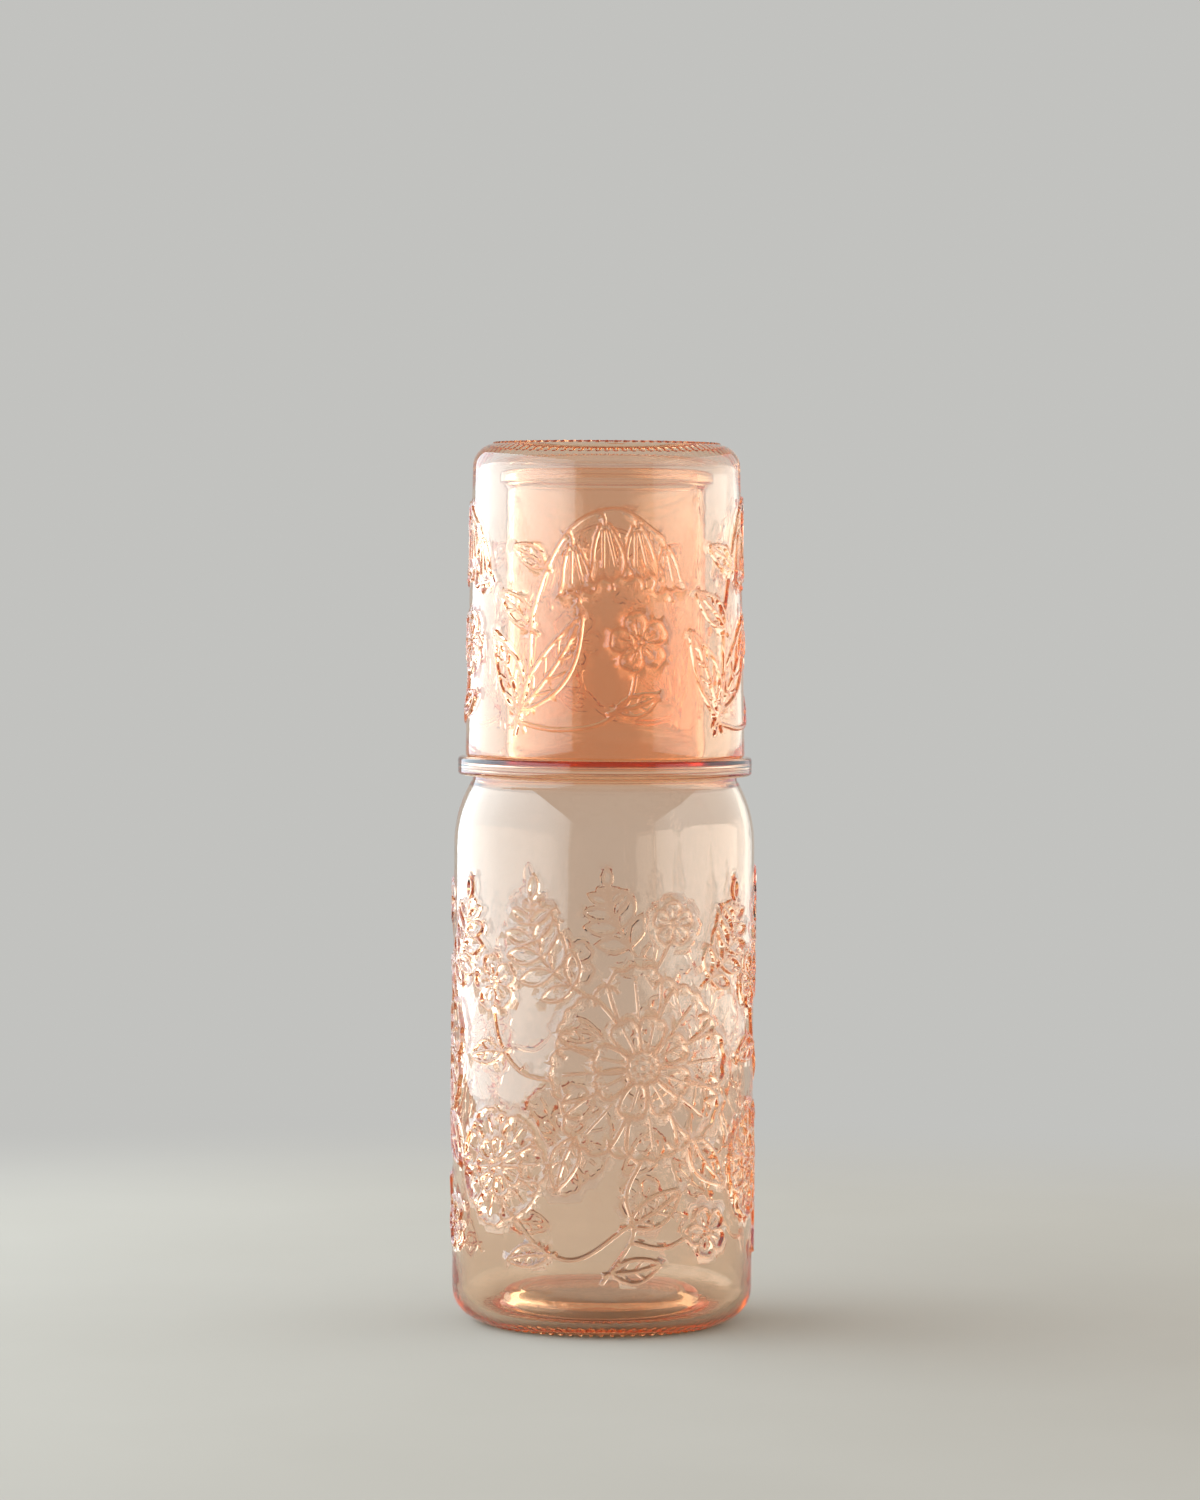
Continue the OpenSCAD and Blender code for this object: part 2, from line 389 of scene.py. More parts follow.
def with_bars(gap, bar, columns):
    """Outline for each column: the gap's and the bar's, mixed by the column's weight."""
    weight = np.resize(BAR_WEIGHT, len(columns))[None, :, None]
    return gap[:, None] * (1 - weight) + bar[:, None] * weight


print("foot bars, width of crest and of foot in mm:", 2 * BAR_FLANK[2], 2 * BAR_FLANK[3])

# %% [markdown]
# ## Drawing the relief
# The raised drawing is cut into the mould, so on the glass it is a rounded rib about a millimetre and
# a half wide and half as high. It could be traced over a picture, but plants drawn by formula stay
# easy to change. They are strokes on the wall rolled out flat: s runs round the wall from the front,
# z runs up. A stroke is a line of points with the rib's half width and height. Open flowers, small
# blossoms, leaves, fern fronds and bells are enough for both pieces.

# %% Strokes
LINE = (0.78, 0.80)
FINE = (0.56, 0.55)
DOT = (0.95, 0.85)
STROKE_STEP = 0.5
FLAT_ROUND = 1e6


def turned(points, degrees):
    """Points turned anticlockwise about the origin."""
    turn = np.radians(degrees)
    return points @ np.array([[np.cos(turn), np.sin(turn)], [-np.sin(turn), np.cos(turn)]])


def placed(strokes, s, z, degrees=0.0):
    """Copy of a motif, turned and then moved to (s, z) on the unrolled wall."""
    return [(turned(points, degrees) + [s, z], rib) for points, rib in strokes]


def smooth_curve(knots, steps=14):
    """Catmull-Rom spline: on each span a cubic through its two knots, heading as their neighbours say."""
    knots = np.asarray(knots, float)
    knots = np.vstack([2 * knots[0] - knots[1], knots, 2 * knots[-1] - knots[-2]])
    t = np.linspace(0, 1, steps, endpoint=False)[:, None]
    a, b, c, d = (knots[i:len(knots) - 3 + i, None] for i in range(4))
    square = 2 * a - 5 * b + 4 * c - d
    cube = 3 * b - a - 3 * c + d
    spans = 0.5 * (2 * b + (c - a) * t + square * t**2 + cube * t**3)
    return np.vstack([spans.reshape(-1, 2), knots[-2]])


def evenly(points, step):
    """Points about one step apart along a polyline, found by its running length."""
    run = np.concatenate([[0], np.cumsum(np.hypot(*np.diff(points, axis=0).T))])
    at = np.linspace(0, run[-1], max(2, int(np.ceil(run[-1] / step)) + 1))
    return np.column_stack([np.interp(at, run, points[:, i]) for i in range(2)])


def uncovered(strokes, s, z, radius, round_s):
    """Strokes without what lies inside a circle, measured the short way round a wall round_s about.
    FLAT_ROUND is so far about that nothing comes round, as on paper."""
    kept = []
    for points, rib in strokes:
        dense = evenly(points, STROKE_STEP)
        across = (dense[:, 0] - s + round_s / 2) % round_s - round_s / 2
        free = np.hypot(across, dense[:, 1] - z) > radius
        cuts = np.flatnonzero(np.diff(free.astype(int))) + 1
        runs = zip(np.split(dense, cuts), np.split(free, cuts))
        parts = [run for run, clear in runs if clear[0] and len(run) > 3]
        kept += [(points, rib)] if free.all() else [(run, rib) for run in parts]
    return kept


print("width and height of a main rib in mm:", 2 * LINE[0], LINE[1])


# %% Flowers
def dots(radius, count):
    """Stamen heads evenly spaced on a circle, each a stroke too short to see as a line."""
    turn = 2 * np.pi * np.arange(count) / count
    middles = radius * np.column_stack([np.cos(turn), np.sin(turn)])
    return [(middle + [[-0.02, 0], [0.02, 0]], DOT) for middle in middles]


def petal(length, width):
    """Petal along +z with one vein: its half width follows a quarter sine, and its tip has three teeth."""
    t = np.linspace(0, 1, 14)
    half = width / 2 * np.sin(np.pi / 2 * t**0.85)
    along = length * (0.17 + 0.69 * t)
    q = np.linspace(-1, 1, 31)[1:-1]
    teeth = 0.035 * length * (1 - np.cos(3 * np.pi * q)) / 2
    tip = length * (0.86 + 0.14 * np.sqrt(1 - q**2)) - teeth
    left, right = np.column_stack([-half, along]), np.column_stack([half, along])
    outline = np.vstack([left, np.column_stack([width / 2 * q, tip]), right[::-1]])
    vein = length * np.linspace(0.26, 0.84, 9)
    return [(outline, LINE), (np.column_stack([0 * vein, vein]), FINE)]


def bloom(radius, petals):
    """Open flower: a ring of broad petals, tips of others between them, a ring of small ones, an eye."""
    pitch = 360 / petals
    chord = radius * np.sin(np.pi / petals)
    q = np.linspace(-1, 1, 15)
    between = np.column_stack([0.34 * chord * q, radius * (0.80 + 0.13 * np.sqrt(1 - q**2))])
    strokes = []
    for k in range(petals):
        length = radius * (1 + 0.05 * np.sin(2.4 * k + 1))
        strokes += placed(petal(length, 1.44 * chord), 0, 0, k * pitch + 3 * np.sin(1.7 * k))
        strokes += placed([(between, LINE)], 0, 0, (k + 0.5) * pitch)
    strokes = uncovered(strokes, 0, 0, 0.49 * radius, FLAT_ROUND)
    for k in range(petals):
        way = (k + 0.5) * pitch + 4 * np.sin(2.1 * k)
        strokes += placed(petal(0.53 * radius, 0.74 * chord), 0, 0, way)
    strokes = uncovered(strokes, 0, 0, 0.17 * radius, FLAT_ROUND)
    turn = np.linspace(0, 2 * np.pi, 73)
    eye = 0.17 * radius * (1 + 0.07 * np.cos(12 * turn))
    strokes.append((np.column_stack([eye * np.cos(turn), eye * np.sin(turn)]), LINE))
    return strokes + dots(0.095 * radius, max(4, int(0.28 * radius))) + dots(0, 1)


def blossom(radius):
    """Small flower: its outline swings between the notches and five round, lightly dented petals."""
    turn = np.linspace(0, 2 * np.pi, 91)
    lobe = np.abs(np.cos(2.5 * turn))
    r = radius * (0.52 + 0.48 * lobe**0.6) * (1 - 0.10 * lobe**14)
    strokes = [(np.column_stack([r * np.sin(turn), r * np.cos(turn)]), LINE)]
    vein = np.linspace(0.26, 0.50, 5) * radius
    for k in range(5):
        strokes += placed([(np.column_stack([0 * vein, vein]), FINE)], 0, 0, 72 * k + 36)
        strokes += placed([(np.column_stack([0 * vein, 1.2 * vein]), FINE)], 0, 0, 72 * k)
    return strokes + dots(0.13 * radius, 5)


def bell(height):
    """Hanging bell: narrow at the origin, widening to a wavy mouth below, with sepals and a stamen."""
    t = np.linspace(0, 1, 17)
    half = height * (0.10 + 0.20 * np.sin(np.pi / 2 * np.clip(1.6 * t, 0, 1)) + 0.16 * t**5)
    q = np.linspace(-1, 1, 31)[1:-1]
    mouth = -height * (1 + 0.10 * np.abs(np.cos(1.5 * np.pi * q)))
    left, right = np.column_stack([-half, -height * t]), np.column_stack([half, -height * t])
    strokes = [(np.vstack([left, np.column_stack([half[-1] * q, mouth]), right[::-1]]), LINE)]
    fold = np.linspace(0.12, 0.8, 7)
    sepal = np.linspace(0, 1, 6)
    for side in (-1, 1):
        strokes.append((height * np.column_stack([side * (0.03 + 0.12 * fold), -fold]), FINE))
        strokes.append((height * np.column_stack([side * 0.24 * sepal, 0.02 - 0.22 * sepal**2]), FINE))
    strokes.append((height * np.array([[0, -1.02], [0, -1.2]]), FINE))
    return strokes + placed(dots(0, 1), 0, -1.24 * height)


print("strokes in a flower of eight petals:", len(bloom(29, 8)))


# %% Leaves
def leaf(length, width, pairs=3):
    """Leaf along +z: half width a skewed sine, swaying to one side, with a midrib and pairs of veins."""
    t = np.linspace(0, 1, 23)
    half = width / 2 * np.sin(np.pi * t**0.85) ** 0.9
    sway = 0.05 * length * np.sin(np.pi * t)
    left, right = np.column_stack([sway - half, length * t]), np.column_stack([sway + half, length * t])
    rib_t = np.linspace(-0.16, 0.9, 15)
    rib = length * np.column_stack([0.05 * np.sin(np.pi * np.clip(rib_t, 0, 1)), rib_t])
    strokes = [(np.vstack([left, right[::-1]]), LINE), (rib, LINE)]
    reach = np.linspace(0, 1, 6)
    for at in np.linspace(0.16, 0.76, pairs):
        up = at + 0.14 * reach**1.2
        span = 0.74 * reach * width / 2 * np.sin(np.pi * up**0.85) ** 0.9
        middle = 0.05 * length * np.sin(np.pi * up)
        strokes += [(np.column_stack([middle + side * span, length * up]), FINE) for side in (-1, 1)]
    return strokes


def leaflet(length, width):
    """Plain almond along +z, its half width a sine."""
    t = np.linspace(0, 1, 15)
    half = width / 2 * np.sin(np.pi * t) ** 0.9
    left, right = np.column_stack([-half, length * t]), np.column_stack([half, length * t])
    return [(np.vstack([left, right[::-1]]), LINE)]


def frond(stem, pairs, longest):
    """Fern: leaflets in pairs along a stem, turned out from its heading, shrinking towards its tip."""
    steps = np.linspace(0.14, 0.95, pairs)
    index = (steps * (len(stem) - 2)).astype(int)
    way = stem[index + 1] - stem[index]
    heading = np.degrees(np.arctan2(way[:, 1], way[:, 0])) - 90
    sizes = longest * np.sin(np.pi * (0.22 + 0.74 * steps)) ** 0.8
    strokes = [(stem, LINE)]
    for root, ahead, size in zip(stem[index], heading, sizes):
        for side in (-56, 56):
            strokes += placed(leaflet(size, 0.42 * size), *root, ahead + side)
    return strokes + placed(leaflet(0.6 * longest, 0.26 * longest), *stem[-1], heading[-1])


print("strokes in a leaf:", len(leaf(19, 9)))

# %% [markdown]
# ## Two drawings
# Round the carafe, one spray of a large flower, a middle one, blossoms, leaves and two fronds is set
# three times, each a little higher or lower and turned, so no two sides look stamped. Round the
# tumbler go four arching stems of bells. Motifs could be scattered at random, but a spray grows from
# stems, so its places are chosen. Flowers lie in front: a stem is cut where a flower covers it.

# %% The carafe's drawing
BODY_R = 45.0
BODY_ROUND = 2 * np.pi * BODY_R
SPRAYS = ((0, 6), (-6, -9), (4, 14))
SPRAY_AT = 12.0
SPRAY_LEAVES = (
    (16, 59, -140, 19, 9), (-4, 34, -58, 19, 8.5), (-44, 84, 100, 15, 7),
    (-28, 25, 100, 14, 6.5), (-9, 20, -80, 15, 7), (-20, 60, 160, 17, 8),
)


def spray_stems(lift):
    """Stems, leaves and fronds of one spray; lift moves what hangs on the large flower up or down."""
    strokes = [(smooth_curve(knots), LINE) for knots in (
        [(0, 54 + lift), (-5, 43), (-3, 31), (-12, 17)],
        [(-40, 36), (-31, 27), (-19, 24), (-4, 34)],
        [(-48, 96), (-45, 86), (-37, 78), (-26, 76 + lift)],
        [(15, 30), (6, 27), (-3.2, 29)],
        [(3, 108 + lift), (6, 113 + lift), (8, 117 + lift)],
    )]
    strokes += frond(smooth_curve([(-17, 101 + lift), (-28, 109), (-34, 119), (-34, 129)]), 6, 12)
    strokes += frond(smooth_curve([(19, 103 + lift), (28, 111), (33, 120), (34, 128)]), 6, 11)
    for s, z, way, length, width in SPRAY_LEAVES:
        strokes += placed(leaf(length, width), s, z + lift * (z > 55 and abs(s) < 30), way)
    return strokes


carafe_drawing = []
flowers = []
for k, (lift, lean) in enumerate(SPRAYS):
    at = SPRAY_AT + BODY_ROUND * k / len(SPRAYS)
    carafe_drawing += placed(spray_stems(lift), at, 0)
    flowers += [
        (bloom(17, 7), at - 46, 50, 10 + lean, 16.2), (bloom(29, 8), at, 80 + lift, lean, 27.6),
        (blossom(9), at - 48, 104, 10 + 20 * k, 7.9), (blossom(8), at + 22, 31, 25, 7.0),
        (blossom(7), at + 9, 122 + lift, 8 * k, 6.2),
    ]
for motif, s, z, way, hidden in flowers:
    carafe_drawing = uncovered(carafe_drawing, s, z, hidden, BODY_ROUND) + placed(motif, s, z, way)
print("strokes on the carafe:", len(carafe_drawing))

# %% The tumbler's drawing
CUP_R = 40.9
CUP_ROUND = 2 * np.pi * CUP_R
ARCH_RISE = (0, 4, -3, 2)
ARCH_AT = -6.0
BELLS = ((0.60, 13), (0.74, 15), (0.87, 14), (0.99, 12))
ARCH_BLOSSOM = (16, 204, 9.5, 8.4)
ARCH_LEAVES = (
    (-20.5, 182, 24, 28, 9, 4), (-20, 184, -34, 34, 10, 4), (-16.6, 208, 50, 17, 7, 3),
    (-12.5, 226, 62, 13, 6, 3), (9, 184, -70, 14, 6, 3),
)


def arch(up):
    """One arching stem with four bells, its leaves and a runner for a blossom; up raises its top."""
    stem = smooth_curve([
        (-22, 177), (-17.5, 194), (-16, 214), (-6, 236 + up), (9, 243 + up), (23, 235 + up),
    ])
    runner = smooth_curve([(15, 197), (13, 188), (5, 180.5), (-8, 178.5), (-21, 180.5)])
    strokes = [(stem, LINE), (runner, LINE)]
    for share, size in BELLS:
        s, z = stem[int(share * (len(stem) - 1))]
        strokes.append((smooth_curve([(s, z), (s + 1.6, z - 1.4), (s + 2, z - 4)]), LINE))
        strokes += placed(bell(size), s + 2, z - 4, 7)
    for s, z, way, length, width, pairs in ARCH_LEAVES:
        strokes += placed(leaf(length, width, pairs), s, z, way)
    return strokes


tumbler_drawing = []
for k, up in enumerate(ARCH_RISE):
    tumbler_drawing += placed(arch(up), ARCH_AT + CUP_ROUND * k / len(ARCH_RISE), 0)
blossom_s, blossom_z, blossom_r, hidden = ARCH_BLOSSOM
for k in range(len(ARCH_RISE)):
    at = ARCH_AT + blossom_s + CUP_ROUND * k / len(ARCH_RISE)
    tumbler_drawing = uncovered(tumbler_drawing, at, blossom_z, hidden, CUP_ROUND)
    tumbler_drawing += placed(blossom(blossom_r), at, blossom_z, 12 + 9 * k)
print("strokes on the tumbler:", len(tumbler_drawing))

# %% [markdown]
# ## From drawing to skin
# A bump map would only fake the ribs: at the glass's edge, where they stand out against the
# background and bend the light most, nothing would be there. Displacing a very fine grid would work
# but spends points on bare wall. So the points are put where the drawing needs them: rows along each
# rib on its flanks and at its feet, and a coarse honeycomb between. A Delaunay mesh joins them, and
# each point is then lifted by the height of the ribs it lies on. Glass bends light by its normals, so
# the bare wall gets the true normals of its formula, and a rib has a sharp edge at its feet.

# %% Rib heights and rows
RIB_STEP = 1.0
RIB_ROWS = {LINE: (-0.55, 0.55, -1, 1), FINE: (-0.55, 0.55, -1, 1), DOT: (0, -0.55, 0.55, -1, 1)}


def rib_field(places, strokes, reach=2.0):
    """Height of the ribs at each place, an ellipse of the rib's half width and top, the highest rib
    counting; and the free distance from each place to the nearest rib's foot."""
    height = np.zeros(len(places))
    clear = np.full(len(places), reach)
    for line, (half, top) in strokes:
        boxed = ((places > line.min(0) - reach) & (places < line.max(0) + reach)).all(1)
        near = np.flatnonzero(boxed)
        way = np.diff(line, axis=0)
        off = places[near, None] - line[:-1]
        share = np.clip((off * way).sum(2) / (way**2).sum(1), 0, 1)
        gap = np.linalg.norm(off - share[..., None] * way, axis=2).min(1)
        lift = top * np.sqrt(1 - np.clip(gap / half, 0, 1) ** 2)
        height[near] = np.maximum(height[near], lift)
        clear[near] = np.minimum(clear[near], gap - half)
    return height, clear


def rib_rows(strokes):
    """Points in rows along each rib, carried past its ends by its half width; crests come first."""
    levels = sorted({abs(share) for shares in RIB_ROWS.values() for share in shares})
    rows = {level: [] for level in levels}
    for line, rib in strokes:
        half = rib[0]
        line = evenly(line, RIB_STEP)
        way = np.gradient(line, axis=0)
        way /= np.linalg.norm(way, axis=1, keepdims=True)
        line = np.vstack([line[0] - half * way[0], line, line[-1] + half * way[-1]])
        way = np.vstack([way[:1], way, way[-1:]])
        across = np.column_stack([-way[:, 1], way[:, 0]])
        for share in RIB_ROWS[rib]:
            rows[abs(share)].append(line + share * half * across)
    return np.vstack([row for level in rows.values() for row in level])


print("points in rows along the carafe's ribs:", len(rib_rows(carafe_drawing)))

# %% Places on the flat wall
BARE_STEP = 2.4
ROW_SHARE = 0.866
WELD = 0.18


def thinned(places):
    """Places with at most one in each cell of two grids half a cell apart; the earlier ones stay."""
    for shift in (0, 0.5):
        cells = np.floor(places / WELD + shift).astype(np.int64)
        first = np.unique(cells, axis=0, return_index=True)[1]
        places = places[np.sort(first)]
    return places


def honeycomb(left, right, low, high):
    """Places in rows, every other row moved by half a step."""
    s, z = np.meshgrid(np.arange(left, right, BARE_STEP), np.arange(low, high, ROW_SHARE * BARE_STEP))
    return np.column_stack([(s + BARE_STEP / 2 * (np.arange(len(z)) % 2)[:, None]).ravel(), z.ravel()])


print("honeycomb places on 100 by 100 mm:", len(honeycomb(0, 100, 0, 100)))

# %% Relief patch
MARGIN = 0.5
SEAM_STEP = 1.2
PAST_SEAM = 3
BARE_CLEAR = 0.45 * BARE_STEP
SLOPE_STEP = 0.001
SAME_PLACE = 1e-7


def relief_patch(drawing, columns, unroll_r, low, high, wall_r, unevenness):
    """Skin of the wall between two heights with the drawing on it. The wall is cut at its first column
    and rolled out, meshed flat, lifted by the ribs, and rolled up again with its two edges welded.
    Returns its own points, triangles that number the lower ring, the upper ring, then the points, how
    high each point is raised, and the bare wall's normal there: outward, less the wall's slopes."""
    count = len(columns)
    round_s = 2 * np.pi * unroll_r
    left = columns[0] * unroll_r
    rim_s = np.append(columns, columns[0] + 2 * np.pi) * unroll_r
    drawing = [(evenly(line, STROKE_STEP), rib) for line, rib in drawing]
    strokes = [(line + [turn * round_s, 0], rib) for line, rib in drawing for turn in (-1, 0, 1)]
    strokes = [(line, rib) for line, rib in strokes
               if line[:, 0].max() > left - PAST_SEAM and line[:, 0].min() < left + round_s + PAST_SEAM]
    seam_z = np.linspace(low, high, int((high - low) / SEAM_STEP) + 1)[1:-1]
    bare = honeycomb(left, left + round_s, low, high)
    bare = bare[rib_field(bare, strokes)[1] > BARE_CLEAR]
    inner = np.vstack([rib_rows(strokes), bare])
    inside = (inner[:, 0] > left + MARGIN) & (inner[:, 0] < left + round_s - MARGIN)
    inside &= (inner[:, 1] > low + MARGIN) & (inner[:, 1] < high - MARGIN)
    inner = thinned(inner[inside])
    own = np.vstack([np.column_stack([np.full(len(seam_z), left), seam_z]), inner])
    flat = np.vstack([
        np.column_stack([rim_s, np.full(count + 1, low)]),
        np.column_stack([rim_s, np.full(count + 1, high)]),
        own,
        np.column_stack([np.full(len(seam_z), left + round_s), seam_z]),
    ])
    number = np.concatenate([
        np.append(np.arange(count), 0),
        np.append(np.arange(count), 0) + count,
        np.arange(len(own)) + 2 * count,
        np.arange(len(seam_z)) + 2 * count,
    ])
    meshed = delaunay_2d_cdt([Vector(place) for place in flat.tolist()], [], [], 0, SAME_PLACE)
    source = np.array([origin[0] for origin in meshed[3]])
    triangles = number[source[np.array(meshed[2])]]
    height = rib_field(own, strokes)[0]
    angle, z = own[:, 0] / unroll_r, own[:, 1]

    def bare_r(angle, z):
        """Radius of the wall without its ribs."""
        return wall_r(z) + ripple(angle, z, unevenness)

    round_step = bare_r(angle + SLOPE_STEP, z) - bare_r(angle - SLOPE_STEP, z)
    up_step = bare_r(angle, z + SLOPE_STEP) - bare_r(angle, z - SLOPE_STEP)
    round_slope = round_step / (2 * SLOPE_STEP * unroll_r)
    up_slope = up_step / (2 * SLOPE_STEP)
    normal = carried_round(1.0, -up_slope, angle) - carried_round(round_slope, 0.0, angle + np.pi / 2)
    normal /= np.linalg.norm(normal, axis=1, keepdims=True)
    return carried_round(bare_r(angle, z) + height, z, angle), triangles, height, normal


print("bare wall keeps clear of the ribs by mm:", round(BARE_CLEAR, 2))

# %% Shading the glass
LEAST_RISE = 0.02
LEVEL_RING = 1e-6


def strip(start, count, rows):
    """Quads between the rings of a block whose points start at a number, right then up the outline."""
    row = start + count * np.arange(rows - 1)[:, None]
    here, after = row + np.arange(count), row + (np.arange(count) + 1) % count
    return np.stack([here, after, after + count, here + count], -1).reshape(-1, 4)


def rib_corners(mesh, raised):
    """Point and edge of each face corner, and whether its face has a raised point, so is on a rib."""
    point = np.empty(len(mesh.loops), np.int32)
    edge = np.empty(len(mesh.loops), np.int32)
    first = np.empty(len(mesh.polygons), np.int32)
    mesh.loops.foreach_get("vertex_index", point)
    mesh.loops.foreach_get("edge_index", edge)
    mesh.polygons.foreach_get("loop_start", first)
    on_rib = np.logical_or.reduceat(raised[point], first)
    return point, edge, np.repeat(on_rib, np.diff(np.append(first, len(point))))


def shade_glass(mesh, height, normal):
    """Sharp edges at the ribs' feet, where exactly one of an edge's faces is part of a rib, and true
    normals on the bare wall: corners off the ribs take their point's normal, if it has one."""
    point, edge, on_rib = rib_corners(mesh, height > LEAST_RISE)
    mesh.polygons.foreach_set("use_smooth", np.ones(len(mesh.polygons), bool))
    mesh.edges.foreach_set("use_edge_sharp", np.bincount(edge, on_rib, len(mesh.edges)) == 1)
    mesh.update()
    shading = np.empty(3 * len(point), np.float32)
    mesh.corner_normals.foreach_get("vector", shading)
    shading = shading.reshape(-1, 3)
    bare = ~on_rib & (np.abs(normal[point]).sum(1) > 0)
    shading[bare] = normal[point[bare]]
    mesh.normals_split_custom_set(shading.tolist())
    relief = mesh.attributes.new("relief", "FLOAT", "POINT")
    relief.data.foreach_set("value", np.clip(height / LINE[1], 0, 1).astype(np.float32))


def plain_normals(rings, columns):
    """Normals of rings, none on those that the foot's bars make uneven."""
    level = np.ptp(rings[..., 2], axis=1) < LEVEL_RING
    return (ring_normals(rings, columns) * level[:, None, None]).reshape(-1, 3)


print("a point is on a rib from a rise in mm of:", LEAST_RISE)


# %% One closed mesh
def closed_glass(name, columns, first_z, low_rings, patch, high_rings, last_z):
    """Closed mesh: a point on the axis, rings up to the relief, the relief, rings on, a last point."""
    points, triangles, raised, wall = patch
    count = len(columns)
    low_at, patch_at = 1, 1 + low_rings.shape[0] * count
    high_at = patch_at + len(points)
    last = high_at + high_rings.shape[0] * count
    places = np.vstack([
        [[0, 0, first_z]], low_rings.reshape(-1, 3), points, high_rings.reshape(-1, 3), [[0, 0, last_z]],
    ])
    normal = np.vstack([
        np.zeros((1, 3)), plain_normals(low_rings, columns), wall, plain_normals(high_rings, columns),
        np.zeros((1, 3)),
    ])
    height = np.zeros(len(places))
    height[patch_at:high_at] = raised
    ring_numbers = np.concatenate([
        np.arange(patch_at - count, patch_at), np.arange(high_at, high_at + count),
        np.arange(patch_at, high_at),
    ])
    turn = np.arange(count)
    fans = np.vstack([
        np.column_stack([np.zeros(count, int), low_at + (turn + 1) % count, low_at + turn]),
        np.column_stack([last - count + turn, last - count + (turn + 1) % count, np.full(count, last)]),
    ])
    quads = np.vstack([
        strip(low_at, count, low_rings.shape[0]), strip(high_at, count, high_rings.shape[0]),
    ])
    faces = fans.tolist() + ring_numbers[triangles].tolist() + quads.tolist()
    mesh = bpy.data.meshes.new(name)
    mesh.from_pydata((places * MM).tolist(), [], faces)
    shade_glass(mesh, height, normal)
    piece = bpy.data.objects.new(name, mesh)
    bpy.context.scene.collection.objects.link(piece)
    corners = len(mesh.loops)
    open_edges = 2 * len(mesh.edges) - corners
    print(name, "triangles:", corners - 2 * len(mesh.polygons), "open edges:", open_edges)
    return piece


# %% [markdown]
# ## The carafe
# From the foot the outline goes out round the heel, up the wall, in over the shoulder to a groove,
# out round the collar that the tumbler rests on, and up the neck to a beaded rim. There it turns over
# the lip and comes down inside, through the hollow collar, to a floor with a flat raised middle. A
# curve drawn by hand could do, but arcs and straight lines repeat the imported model's sizes exactly.

# %% The carafe's outline
BODY_WALL = 2.4
HEEL_R = 10.0
PUNT_RISE = 5.0
FLOOR_T = 3.4
FLOOR_R = 7.6
FLOOR_STEP = 5.4
FLOOR_STEP_R = 34.0
SHOULDER_R = 38.0
GROOVE_R = 39.6
GROOVE_H = 1.3
COLLAR_R = 44.0
COLLAR_LOW = 163.9
COLLAR_TOP = 169.5
COLLAR_ROUND = 1.1
CEILING_Z = 167.9
HOLLOW_R = 1.35
HOLLOW_AT = 40.65
LIP_T = 1.1
LIP_ROUND = 1.1
NECK_R = 29.817
BORE_R = 27.617
BEAD_R = 32.017
NECK_TOP = 255.5
BEAD_H = 4.0
BEAD_TAPER = 2.4
BEAD_ROUND = 0.9
ROOT_R = 7.0
THROAT_R = 8.0
GROOVE_FILLET = 0.5
CARAFE_BARS = 72
BODY_RELIEF = (13.0, 141.0)

shoulder_turn = np.degrees(np.arccos(1 - (BODY_R - GROOVE_R) / SHOULDER_R))
shoulder_z = COLLAR_LOW - GROOVE_H - SHOULDER_R * np.sin(np.radians(shoulder_turn))
shoulder_c = (BODY_R - SHOULDER_R, shoulder_z)
shoulder_in = SHOULDER_R - BODY_WALL
shoulder_in_turn = np.degrees(np.arcsin((COLLAR_LOW - GROOVE_H - shoulder_z) / shoulder_in))
collar_in_r = shoulder_c[0] + shoulder_in * np.cos(np.radians(shoulder_in_turn))
lip_c = (collar_in_r + LIP_ROUND, COLLAR_LOW + LIP_T - LIP_ROUND)
inside_r = BODY_R - BODY_WALL
collar_c = COLLAR_R - COLLAR_ROUND
bead_c = BEAD_R - BEAD_ROUND
bead_low = NECK_TOP - BEAD_H
floor_step = raised_middle(FLOOR_STEP_R, FLOOR_STEP)[::-1] + [0, FLOOR_T]

carafe_columns = bar_columns(CARAFE_BARS, BODY_R - HEEL_R)
gap, bar = foot_outlines(BODY_R - HEEL_R, HEEL_R, PUNT_RISE, 0)
carafe_foot = with_bars(gap, bar, carafe_columns)
below_relief = np.array([(BODY_R, BODY_RELIEF[0])])
above_relief = np.vstack([
    [(BODY_R, BODY_RELIEF[1])],
    arc(shoulder_c, SHOULDER_R, 0, shoulder_turn, 10),
    arc((GROOVE_R + GROOVE_FILLET, COLLAR_LOW - GROOVE_FILLET), GROOVE_FILLET, 180, 90, 4),
    arc((collar_c, COLLAR_LOW + COLLAR_ROUND), COLLAR_ROUND, -90, 0, 6),
    arc((collar_c, COLLAR_TOP - COLLAR_ROUND), COLLAR_ROUND, 0, 90, 6),
    rise((collar_c, COLLAR_TOP), (NECK_R + ROOT_R, COLLAR_TOP), 3),
    arc((NECK_R + ROOT_R, COLLAR_TOP + ROOT_R), ROOT_R, 270, 180, 7),
    rise((NECK_R, COLLAR_TOP + ROOT_R), (NECK_R, bead_low - BEAD_TAPER), 5),
    [(NECK_R, bead_low - BEAD_TAPER - 0.6), (NECK_R + 0.12, bead_low - BEAD_TAPER + 0.3)],
    [(bead_c - 0.25, bead_low - 0.35), (bead_c - 0.05, bead_low - 0.04)],
    arc((bead_c, bead_low + BEAD_ROUND), BEAD_ROUND, -80, 0, 5),
    arc((bead_c, NECK_TOP - BEAD_ROUND), BEAD_ROUND, 0, 90, 5),
    arc((BORE_R + BEAD_ROUND, NECK_TOP - BEAD_ROUND), BEAD_ROUND, 90, 180, 5),
])
